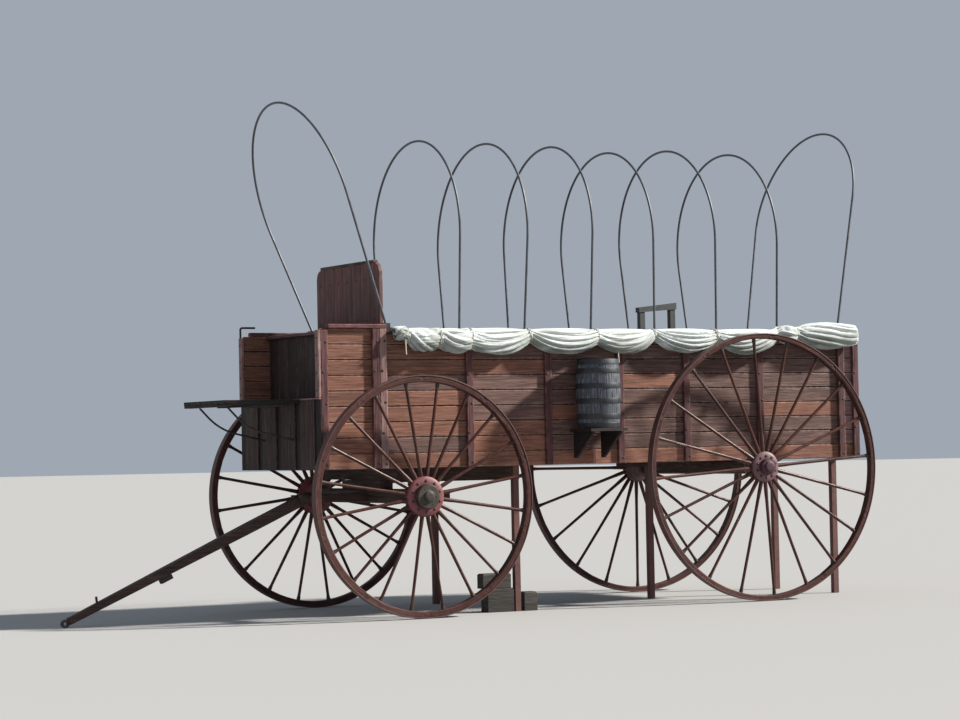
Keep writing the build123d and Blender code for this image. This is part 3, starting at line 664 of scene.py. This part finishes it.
# sills, rails, beams, floors
rnd = random.Random(51)
B = Build()
for s in (1, -1):
    y0, y1 = (Y_IN - .075, Y_OUT) if s > 0 else (-Y_OUT, -Y_IN + .075)
    for xa, xb in ((1.325, -3.0), (-3.0, -7.630)):
        board(B, (xb + .001, y0, 2.060), (xa - .001, y1, 2.2695), "X", rnd, 0.55, 0, 0.009, 0.025, 0.002, 0.6)
    board(B, (-7.628, s * 1.265 - .040, 2.266), (1.323, s * 1.265 + .040, 2.2745), "X", rnd, 0.5, 1, 0.001, 0.002, 0.0, 3.0)
done(B.make("sill_timbers", [M["seatplank"], M["joint"]]), "wagon", "plank_red", "side_sills")
B = Build()
for s in (1, -1):
    def yy(a, b):
        return (a, b) if s > 0 else (-b, -a)
    y0, y1 = yy(Y_IN + .010, Y_POST + .005)
    for xa, xb in ((0.318, -2.6), (-2.6, -5.2), (-5.2, -7.630)):
        board(B, (xb + .001, y0, 3.9305), (xa - .001, y1, 3.970), "X", rnd, None, 0, 0.008, 0.02, 0.0015, 0.6)
    y0, y1 = yy(Y_IN + .005, Y_POST + .005)
    board(B, (0.320, y0, 4.0005), (1.217, y1, 4.060), "X", rnd, 0.75, 0, 0.012, 0.02, 0.001, 0.4)
done(B.make("rail_timbers", M["post"]), "wagon", "post_red", "top_rails")
B = Build()
for cx in [1.240, 0.480, -0.400, -1.300, -2.200, -3.100, -4.000, -4.710, -5.586, -6.500, -7.560]:
    board(B, (cx - .065, -1.215, 2.060), (cx + .065, 1.215, 2.2745), "Y", rnd, None, 0, 0.008, 0.02, 0.002, 0.6)
done(B.make("cross_timbers", M["gear"]), "wagon", "gear_dark", "cross_beams")
B = Build()
for i in range(12):
    ya = -1.29 + 2.58 * i / 12
    for xa, xb in ((0.200, -2.65 - 0.3 * (i % 2)), (-2.65 - 0.3 * (i % 2), -5.35 + 0.25 * (i % 3)), (-5.35 + 0.25 * (i % 3), -7.630)):
        board(B, (xb + .001, ya + .002, 2.2755), (xa - .001, ya + .215 - .002, 2.320), "X", rnd, None, 0, 0.005, 0.02, 0.0, 0.7)
done(B.make("floor_boards", M["deck"]), "wagon", "deck_wood", "bed_floor")

# front panel: four wide boards over a dark recessed lining, with a pale capping; the boards' dark colour is painted
# shade of the forward face, and the very dark lining is painted shade in the recess
B = Build()
board(B, (1.3255, -1.3845, 2.0605), (1.3440, 1.3845, 3.028), "Z", rnd, 0.4, 3, 0.002, 0.004, 0.0, 0.5)
for i in range(4):
    ya = -1.385 + 0.178 + i * (0.470 + 0.178)
    board(B, (1.3440, ya, 2.0605), (1.3695 - rnd.uniform(0, .003), ya + 0.470, 3.028), "Z", rnd, rnd.uniform(0.35, 0.8), 0, 0.008, 0.025, 0.0015, 0.35)
    for zz in (2.14, 2.56, 2.94):
        for dy in (.08, .39):
            bolt(B, (1.3690, ya + dy, zz), (1, 0, 0), 0.010, 0.007, 2)
board(B, (1.3255, -1.383, 3.029), (1.3705, 1.383, 3.050), "Y", rnd, 0.9, 1, 0.005, 0.01, 0.0, 0.5)
done(B.make("front_boards", [M["dark"], M["stile"], M["iron"], M["black"]]), "wagon", "panel_dark", "front_panel")

B = Build()
for i in range(8):
    za, zb = 2.2755 + 1.679 * i / 8, 2.2755 + 1.679 * (i + 1) / 8
    board(B, (0.2003, -1.2895, za + .003), (0.2447, 1.2895, zb - .003), "Y", rnd, None, 0, 0.006, 0.02, 0.001, 0.5)
board(B, (0.2455, -1.2895, 3.8655), (0.3295, 1.2895, 3.9545), "Y", rnd, 0.4, 0, 0.006, 0.02, 0.0, 0.5)
done(B.make("bulkhead_boards", M["plank"]), "wagon", "plank_red", "bulkhead")
B = Build()
for i in range(6):
    xa, xb = 0.245 + 1.08 * i / 6, 0.245 + 1.08 * (i + 1) / 6
    board(B, (xa + .002, -1.2895, 3.0055), (xb - .002, 1.2895, 3.050), "Y", rnd, None, 0, 0.005, 0.02, 0.001, 0.5)
done(B.make("driver_floor_boards", M["deck"]), "wagon", "deck_wood", "driver_floor")
# the seat riser in the darkened panel wood: painted shade
B = Build()
for i in range(8):
    ya, yb = -1.29 + 2.58 * i / 8, -1.29 + 2.58 * (i + 1) / 8
    board(B, (0.8753, ya + .003, 3.0505), (0.9197, yb - .003, 3.9545), "Z", rnd, None, 0, 0.006, 0.02, 0.001, 0.4)
done(B.make("riser_boards", M["dark"]), "wagon", "panel_dark", "seat_riser")
B = Build()
board(B, (0.2645, -1.189, 3.9555), (0.3105, 1.189, 4.000), "Y", rnd, None, 0, 0.006, 0.01, 0.0, 0.5)
for i in range(3):
    xa, xb = 0.3125 + 0.6675 * i / 3, 0.3125 + 0.6675 * (i + 1) / 3
    board(B, (xa + .002, -1.2895, 3.9555), (xb - .002, 1.2895, 4.000), "Y", rnd, None, 0, 0.007, 0.02, 0.001, 0.5)
done(B.make("bench_boards", M["seat"]), "wagon", "seat_red", "seat_board")

# seat back: upright boards cut to a rounded top, bolt heads on both faces at two heights and a cap along the top
B = Build()
x0, x1, half, top, rad = 0.200, 0.260, 1.050, 4.950, 0.160
cols = 7
for i in range(cols):
    ya, yb = -half + 2 * half * i / cols, -half + 2 * half * (i + 1) / cols

    def topz(y):
        d = half - abs(y)
        return top if d >= rad else top - rad + math.sqrt(max(0.0, rad * rad - (rad - d) ** 2))
    m = 8
    ys = [ya + .002 + (yb - ya - .004) * j / m for j in range(m + 1)]
    tt, o3 = rnd.uniform(0.3, 0.8), rnd.uniform(0, 30)
    verts, grain, ed = [], [], []
    c = 0.006
    for j, y in enumerate(ys):
        ey = c if j in (0, m) else 0.0
        zt = topz(y)
        for xx, zz, e in ((x0 + ey, 3.9560, 1), (x0, 3.98, 0), (x0, zt - .03, 0), (x0, zt - c, 1), (x0 + c, zt, 1), (x1 - c, zt, 1), (x1, zt - c, 1), (x1, zt - .03, 0), (x1, 3.98, 0), (x1 - ey, 3.9560, 1)):
            verts.append((min(max(xx, x0 + ey), x1 - ey), y, zz))
            grain.append((zz + o3, y + o3, xx))
            ed.append(float(e))
    faces = rings_faces(m + 1, 10)
    faces.append(tuple(range(10))[::-1])
    faces.append(tuple(len(verts) - 10 + j for j in range(10)))
    B.add(verts, faces, grain, tt, ed)
board(B, (0.187, -0.883, 4.945), (0.273, 0.883, 4.988), "Y", rnd, 0.3, 1, 0.012, 0.015, 0.0, 0.4)
for zz in (4.15, 4.72):
    for i in range(cols):
        y = -half + 2 * half * (i + 0.5) / cols
        bolt(B, (0.2598, y, zz), (1, 0, 0), 0.010, 0.008, 2)
        bolt(B, (0.2002, y, zz), (-1, 0, 0), 0.010, 0.008, 2)
done(B.make("seat_back_boards", [M["seat"], M["gear"], M["iron"]]), "wagon", "seat_red", "seat_back")

# footboard in the very dark wood: painted shade of its underside
B = Build()
for i in range(7):
    ya, yb = -.75 + 1.5 * i / 7, -.75 + 1.5 * (i + 1) / 7
    board(B, (1.3705, ya + .003, 2.9915), (2.500 - rnd.uniform(0, .012), yb - .003, 3.045), "X", rnd, None, 0, 0.007, 0.02, 0.001, 0.3)
for cx in (1.56, 1.93, 2.43):
    board(B, (cx - .06, -.740, 2.9555), (cx + .06, .740, 2.9912), "Y", rnd, None, 0, 0.006, 0.01, 0.0, 0.4)
done(B.make("footboard_boards", M["black"]), "wagon", "gear_dark", "footboard")

B = Build()
for i in range(8):
    za, zb = 2.326 + 1.594 * i / 8, 2.326 + 1.594 * (i + 1) / 8
    board(B, (-7.6295, -1.2795, za + (GAP if i else 0)), (-7.5855, 1.2795, zb - (GAP if i < 7 else 0)), "Y", rnd, None, 0, 0.008, 0.02, 0.001, 0.5)
    if i:
        board(B, (-7.6130, -1.279, za - .014), (-7.6020, 1.279, za + .014), "Y", rnd, 0.5, 1, 0.001, 0.002, 0.0, 2.0)
done(B.make("tailgate_boards", [M["plank"], M["joint"]]), "tailgate", "plank_red", "tailgate")

# ------------------------------------------------------------------ barrel
B = Build()
BX, BY, Z0, Z1, RE, RM = -2.870, 1.692, 2.565, 3.550, 0.290, 0.319
ZM, HH = (Z0 + Z1) / 2, (Z1 - Z0) / 2
RR = (HH * HH + (RM - RE) ** 2) / (2 * (RM - RE))


def barrel_r(z):
    return RM - RR + math.sqrt(RR * RR - (z - ZM) ** 2)


rnd = random.Random(77)
staves = 22
for i in range(staves):
    a0, a1 = TAU * i / staves, TAU * (i + 1) / staves
    tt, o3 = rnd.uniform(0.25, 0.8), rnd.uniform(0, 30)
    jr = rnd.uniform(-0.002, 0.0)
    k = 14
    verts, grain, ed = [], [], []
    g = 0.0028
    for j in range(k + 1):
        z = Z0 + (Z1 - Z0) * j / k
        r = barrel_r(z) + jr - (0.003 if j in (0, k) else 0)
        ri = barrel_r(z) - 0.028
        da = g / r
        sec = [(ri, a0 + da), (r - .004, a0 + da * 0.8), (r, a0 + da + .012), (r, a0 + (a1 - a0) * 0.35), (r, a0 + (a1 - a0) * 0.65), (r, a1 - da - .012), (r - .004, a1 - da * 0.8), (ri, a1 - da)]
        for (q, a), e in zip(sec, (0, 1, 1, 0, 0, 1, 1, 0)):
            verts.append((BX + q * math.cos(a), BY + q * math.sin(a), z))
            grain.append((z + o3, q * a + o3, q))
            ed.append(1.0 if j in (0, k) else float(e))
    faces = rings_faces(k + 1, 8)
    faces.append(tuple(range(8))[::-1])
    faces.append(tuple(len(verts) - 8 + j for j in range(8)))
    B.add(verts, faces, grain, tt, ed)
for zz, up_ in ((Z1 - 0.045, 1), (Z0 + 0.004, -1)):
    for i in range(5):
        w = 2 * 0.262 / 5
        ya = -0.262 + w * i
        ext = math.sqrt(max(0.01, 0.265 ** 2 - max(abs(ya + .002), abs(ya + w - .002)) ** 2))
        board(B, (BX - ext, BY + ya + .001, zz - .016), (BX + ext, BY + ya + w - .001, zz), "X", rnd, None, 0, 0.002, 0.006, 0.0, 0.3)
for z in (2.606, 2.735, 2.955, 3.170, 3.385, 3.512):
    hb = 0.0375
    r = barrel_r(z)
    sl = (barrel_r(z + hb) - barrel_r(z - hb))
    lathe(B, [(r - .006 - sl / 2, z - hb), (r + .0045 - sl / 2, z - hb + .0005), (r + .0060 - sl / 2, z - hb + .004), (r + .0060 + sl / 2, z + hb - .004), (r + .0045 + sl / 2, z + hb - .0005), (r - .006 + sl / 2, z + hb)],
          lambda a, b, s: (BX + a, BY + b, s), 72, 1)
    a = rnd.uniform(0, TAU)
    for dz in (-.018, .018):
        bolt(B, (BX + (r + .0055) * math.cos(a), BY + (r + .0055) * math.sin(a), z + dz), (math.cos(a), math.sin(a), 0), 0.006, 0.005, 1, False)
done(B.make("barrel_staves", [M["barrel"], M["band"]], 30), "wagon", "barrel_grey", "barrel")

# ------------------------------------------------------------------ canvas gathered along the top of each side
# one row for each swag: its ends along x, its top and its bottom; the cloth is tied down to a neck between swags
SWAGS = [(0.235, 0.035, 4.060, 3.860), (0.035, -0.463, 4.018, 3.690), (-0.463, -0.952, 4.010, 3.668), (-0.952, -1.904, 4.016, 3.664),
         (-1.904, -3.012, 4.016, 3.658), (-3.012, -3.974, 4.010, 3.660), (-3.974, -5.037, 4.010, 3.680),
         (-5.037, -6.130, 4.010, 3.650), (-6.130, -6.468, 4.075, 3.800), (-6.468, -7.520, 4.120, 3.730)]
# top, bottom and outside of the section at each end of each swag, some tied tighter than others
NECKS = [(4.040, 3.872, 1.520), (3.995, 3.805, 1.500), (3.990, 3.735, 1.530), (3.990, 3.715, 1.530), (3.992, 3.815, 1.490), (3.990, 3.775, 1.510),
         (3.988, 3.838, 1.480), (3.990, 3.800, 1.500), (3.996, 3.850, 1.485), (4.010, 3.845, 1.495), (4.105, 3.800, 1.560)]
DIAG = [.6, -2.6, -1.2, .9, -1.5, 1.2, -1.8, 1.4, -.8, -2.0]
AROUND, INSIDE = 104, 30        # points round the outer turn and in the inner turn


def outline(top, bottom, out):
    """Section of the bundle over the rail and down its outside, as points an equal way apart."""
    h, w = top - bottom, out - 1.397
    ctrl = [(1.304, 3.975), (1.316, top - .012), (1.360, top), (1.397 + .45 * w, top - .004), (1.397 + .84 * w, top - .22 * h), (out, top - .50 * h),
            (1.397 + .94 * w, bottom + .24 * h), (1.397 + .70 * w, bottom + .05 * h), (1.397 + .36 * w, bottom), (1.397 + .09 * w, bottom + .10 * h), (1.397, bottom + .32 * h),
            (1.397, 3.930), (1.398, 3.962)]
    fine = []
    for i in range(len(ctrl) - 1):
        p0, p1, p2, p3 = (Vector((*ctrl[max(0, min(len(ctrl) - 1, i + k))], 0)) for k in (-1, 0, 1, 2))
        for j in range(8):
            t = j / 8
            fine.append(0.5 * ((2 * p1) + (p2 - p0) * t + (2 * p0 - 5 * p1 + 4 * p2 - p3) * t * t + (3 * p1 - p0 - 3 * p2 + p3) * t ** 3))
    fine.append(Vector((*ctrl[-1], 0)))
    run = [0.0]
    for a, b in zip(fine, fine[1:]):
        run.append(run[-1] + (b - a).length)
    return fine, run


def along(fine, run, u):
    s = max(0.0, min(1.0, u)) * run[-1]
    lo, hi = 0, len(run) - 1
    while hi - lo > 1:
        mid = (lo + hi) // 2
        if run[mid] <= s:
            lo = mid
        else:
            hi = mid
    f = (s - run[lo]) / max(1e-9, run[hi] - run[lo])
    return fine[lo].lerp(fine[hi], f), (fine[hi] - fine[lo]).normalized()


def smooth(t):
    t = max(0.0, min(1.0, t))
    return t * t * (3 - 2 * t)


def off_timber(y, z):
    """Keeps a point of the cloth off the rail, the posts and the hoops' feet."""
    y = max(y, 1.3025)
    if z < 3.974 and y < 1.3965:
        if z > 3.950 and y < 1.385:
            z = 3.974
        else:
            y = 1.3965
    return min(y, 1.598), z


def canvas_strip(seed):
    rnd = random.Random(seed)
    folds = [(rnd.choice((8, 9, 10)) if a - b > .6 else 6, rnd.random(), DIAG[i], rnd.uniform(0, 50)) for i, (a, b, _, _) in enumerate(SWAGS)]
    stations = []
    for i, (a, b, _, _) in enumerate(SWAGS):
        k = max(8, round((a - b) / 0.034))
        stations += [(i, j / k) for j in range(k + (1 if i == len(SWAGS) - 1 else 0))]
    V, G, H, lowness_grime_and_shade, crease_shade_mask = [], [], [], [], []
    for i, t in stations:
        xa, xb, T, Bt = SWAGS[i]
        x = xa + (xb - xa) * t
        s = math.sin(math.pi * t)
        wide = max(0.0, s) ** .55
        low = max(0.0, math.sin(math.pi * t ** (1 + .12 * folds[i][2] * .5))) ** .75
        n0, n1 = NECKS[i], NECKS[i + 1]
        nt, nb, no = (n0[k] + (n1[k] - n0[k]) * smooth(t) for k in range(3))
        top = nt + (T - nt) * wide + .010 * mn.noise(Vector((x * 2.3, 4.4, seed)))
        bot = nb + (Bt - nb) * low + .012 * mn.noise(Vector((x * 2.9, 9.1, seed)))
        out = no + (1.568 - no) * wide
        fine, run = outline(top, bot, out)
        c = Vector((1.397 + .42 * (out - 1.397), (top + bot) / 2 - .01, 0))
        near = min(t, 1 - t) * (xa - xb)
        for m in range(AROUND + INSIDE):
            outer = m < AROUND
            u = m / (AROUND - 1) if outer else (m - AROUND + 1) / INSIDE * .93
            p, d = along(fine, run, u)
            nrm = Vector((d.y, -d.x, 0)) * -1.0
            off = 0.0
            win = smooth((u - .04) / .10) * (1 - .88 * smooth((u - .70) / .12))
            for k2, share in ((i, 1 - .5 * max(0.0, 1 - near / .05)), (i + (1 if t > .5 else -1), .5 * max(0.0, 1 - near / .05))):
                if not 0 <= k2 < len(SWAGS) or share <= 0:
                    continue
                nf, ph, diag, o3 = folds[k2]
                ws = nf * u * 1.15 + ph + diag * (t - .5) + .95 * mn.noise(Vector((x * .9, u * 2.2, o3)))
                crest = math.floor(ws + .5)
                a = (.55 + .75 * (mn.noise(Vector((x * 1.0, crest * 3.7, o3))) + .5))
                big = .55 * math.cos(TAU * ws) + .45 * (2 * abs(math.cos(math.pi * ws)) ** .8 - 1)
                small = math.cos(TAU * (2.3 * ws + 1.1 * mn.noise(Vector((x * 1.6, u * 5, o3 + 9)))))
                off += share * (a * (.008 + .013 * max(0.0, s) ** .6) * big + .0042 * small)
            gather = max(0.0, 1 - near / .20) if (i or t > .5) and (i < len(SWAGS) - 1 or t < .5) else 0.0
            off += gather * .0050 * math.cos(TAU * (19 * u + .8 * mn.noise(Vector((x * 3, u * 4, 3.1)))))
            off += .020 * mn.noise(Vector((x * 1.9, u * 3.0, seed))) + .0050 * mn.noise(Vector((x * 3.0, u * 26, seed + 5))) + .0020 * mn.noise(Vector((x * 11, u * 60, seed + 9)))
            off *= win
            q = p + nrm * off
            f = 1.0
            if not outer:
                f = 1 - .40 * smooth(u / .22) - .12 * smooth((u - .5) / .5)
                q = c + (p + nrm * off * .5 - c) * f
            y, z = off_timber(q.x, q.y)
            V.append((x, y, z))
            # rises toward the lower turn of the outline and is raised inside the roll: the mask for grime and painted
            # underside shade
            lowness_grime_and_shade.append(smooth((u - .30) / .30) if outer else .15 + .6 * max(0.0, 1 - u / .25))
            # higher where the fold sinks in: the mask for the painted shade of the fold valleys
            crease_shade_mask.append(smooth(.25 - off / .030) * smooth((u - .05) / .12) if outer else .30)
            G.append((x, (u if outer else 1 + u) * 1.3, 0.0))
            # how firmly the ties, the rail and the roll itself hold this point while the cloth is simulated
            loose = (i == 0 and t < .5) or (i == len(SWAGS) - 1 and t > .5)
            tied = 0.0 if loose else max(0.0, 1 - near / .045)
            rail = 1.0 if (u < .05 or u > .90) and outer else 0.0
            H.append(max(tied, rail, .22 if outer else .75))
    return V, G, H, lowness_grime_and_shade, crease_shade_mask, len(stations), AROUND + INSIDE


def soft_run(ob, hold, frames, cap):
    """Cloth simulation under gravity, applied, with no point moved further than cap."""
    rest = [v.co.copy() for v in ob.data.vertices]
    vg = ob.vertex_groups.new(name="hold")
    groups = {}
    for i, h in enumerate(hold):
        groups.setdefault(round(h, 2), []).append(i)
    for h, ids in groups.items():
        vg.add(ids, h, "REPLACE")
    md = ob.modifiers.new("cloth", "CLOTH")
    st = md.settings
    st.quality = 4
    st.mass = 0.35
    st.tension_stiffness = 12
    st.compression_stiffness = 12
    st.shear_stiffness = 4
    st.bending_stiffness = 0.4
    st.air_damping = 3.0
    st.vertex_group_mass = "hold"
    st.pin_stiffness = 0.35
    md.collision_settings.use_collision = False
    md.collision_settings.use_self_collision = False
    md.point_cache.frame_start = 1
    md.point_cache.frame_end = frames
    sc = bpy.context.scene
    for fr in range(1, frames + 1):
        sc.frame_set(fr)
    dg = bpy.context.evaluated_depsgraph_get()
    ev = ob.evaluated_get(dg)
    pts = [v.co.copy() for v in ev.data.vertices]
    ob.modifiers.remove(md)
    ob.vertex_groups.clear()
    sc.frame_set(1)
    moved = 0.0
    for v, a, b in zip(ob.data.vertices, rest, pts):
        d = b - a
        if d.length > cap:
            d = d * (cap / d.length)
        moved = max(moved, d.length)
        v.co = a + d
    return moved


def grid_faces(rows, cols):
    return [(i * cols + j, i * cols + j + 1, (i + 1) * cols + j + 1, (i + 1) * cols + j) for i in range(rows - 1) for j in range(cols - 1)]


V, G, H, lowness_grime_and_shade, crease_shade_mask, rows, cols = canvas_strip(7)
B = Build()
B.add(V, grid_faces(rows, cols), G, lowness_grime_and_shade, crease_shade_mask)
left = B.make("canvas_left_cloth", M["canvas"], 70)
print("canvas moved at most", round(soft_run(left, H, 14, 0.045), 4))
cloth = []
for v in left.data.vertices:
    y, z = off_timber(v.co.y, v.co.z)
    v.co.y, v.co.z = y, z
    cloth.append((v.co.x - XS, y, z))
B = Build()
B.add([(x, -y, z) for x, y, z in cloth], [f[::-1] for f in grid_faces(rows, cols)], G, lowness_grime_and_shade, crease_shade_mask)
right_cloth = B.make("canvas_right_cloth", M["canvas"], 70)

# the lines that tie the roll down, with a loose end on two of them
for side, nm, ob in ((1, "left", left), (-1, "right", right_cloth)):
    md = ob.modifiers.new("thick", "SOLIDIFY")
    md.thickness = 0.004
    md.offset = 0.0
    B = Build()
    for i in range(len(SWAGS) - 1):
        x, neck = SWAGS[i][1], NECKS[i + 1]
        fine, run = outline(*neck)
        for dx in (-.012, .012):
            pts = []
            for k in range(30):
                p, d = along(fine, run, .03 + .94 * k / 29)
                nrm = Vector((d.y, -d.x, 0)) * -1.0
                q = p + nrm * (.011 + .003 * math.sin(5 * k + i))
                y, z = max(q.x, 1.305), q.y
                if z < 3.982 and y < 1.404:
                    y = 1.404 if z < 3.960 else y
                    z = max(z, 3.982) if y < 1.404 else z
                pts.append((x + dx + .004 * math.sin(.4 * k + i), side * y, z))
            tube(B, pts, .0065, 8, 0, .5, True)
        kp = (x, side * (neck[2] + .012), (neck[0] + neck[1]) / 2)
        lathe(B, [(.004, -.022), (.016, -.014), (.021, 0), (.016, .014), (.004, .022)], lambda a, b, s, kp=kp: (kp[0] + a, kp[1] + b * .7, kp[2] + s), 12, 0, .5)
    for x, z0, ln in ((0.085, 3.885, .25), (-3.330, 3.700, .19)):
        pts = [(x + .010 * math.sin(3.0 * k / 9), side * (1.500 + .022 * math.sin(2.2 * k / 9)), z0 - ln * k / 9) for k in range(10)]
        tube(B, pts, .0085, 8, 0, .5, True)
    tie = B.make(nm + "_tie_lines", M["tie"], 60)
    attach(tie, "wagon")
    done(ob, "wagon", "canvas_white", "canvas_" + nm)

# ------------------------------------------------------------------ CAD nodes that keep their shape
KEEP = {"bows": "hoop", "bow_sockets": "iron", "bed_frame": "frame", "support_posts": "leg", "post_blocks": "block", "barrel_shelf": "shelf_shadeX", "front_axle": "gearY", "rear_axle": "gearY",
        "turning_bolster": "gearY", "front_hounds": "gearX", "rear_hounds": "gearX", "king_beam": "gearX", "tongue": "gearX", "tongue_iron": "iron", "tongue_pin": "iron", "footboard_stays": "iron",
        "post_handle": "iron", "tailgate_straps": "iron", "tailgate_hinges": "iron"}
BEVEL = {"bed_frame": .008, "support_posts": .008, "post_blocks": .015, "barrel_shelf": .006, "front_axle": .008, "rear_axle": .008, "turning_bolster": .010, "front_hounds": .010, "rear_hounds": .010,
         "king_beam": .012, "tongue": .010, "bow_sockets": .005, "tongue_iron": .004}
for node, key in KEEP.items():
    ob = NODES[node]
    ob.data.materials.clear()
    ob.data.materials.append(M[key])
    for p in ob.data.polygons:
        p.material_index = 0
    if node in BEVEL:
        bv = ob.modifiers.new("eased", "BEVEL")
        bv.width = BEVEL[node]
        bv.segments = 2
        bv.limit_method = "ANGLE"
        bv.angle_limit = math.radians(40)
        bv.harden_normals = False

# the front axle is built again with the kingpin's bore 2 mm wider, so that its facets pass the pin's when the gear turns
cad = NODES["front_axle"]
axle = bpy.data.objects.new("front_axle_timber", cad.data.copy())
axle.matrix_world = cad.matrix_world.copy()
bpy.context.scene.collection.objects.link(axle)
there, back = cad.matrix_world.copy(), cad.matrix_world.inverted()
for v in axle.data.vertices:
    q = there @ v.co
    r = math.hypot(q.x - XS, q.y)
    if .030 < r < .045:
        v.co = back @ Vector((XS + (q.x - XS) * (1 + .002 / r), q.y * (1 + .002 / r), q.z))
bv = axle.modifiers.new("eased", "BEVEL")
bv.width = .008
bv.segments = 2
bv.limit_method = "ANGLE"
bv.angle_limit = math.radians(40)
done(axle, "front_gear", "gear_dark", "front_axle")

# ------------------------------------------------------------------ floor
me = bpy.data.meshes.new("floor")
N = 64
verts = [(0, 0, -0.002)] + [(260 * math.cos(TAU * i / N), 260 * math.sin(TAU * i / N), -0.002) for i in range(N)]
me.from_pydata(verts, [], [(0, 1 + i, 1 + (i + 1) % N) for i in range(N)])
n = Net("pale_floor")
me.materials.append(n.finish((0.335, 0.335, 0.335), 0.92, None, 0.0, 0.12))
floor = bpy.data.objects.new("floor", me)
bpy.context.scene.collection.objects.link(floor)

bpy.context.scene.view_settings.view_transform = "Standard"
bpy.context.view_layer.update()
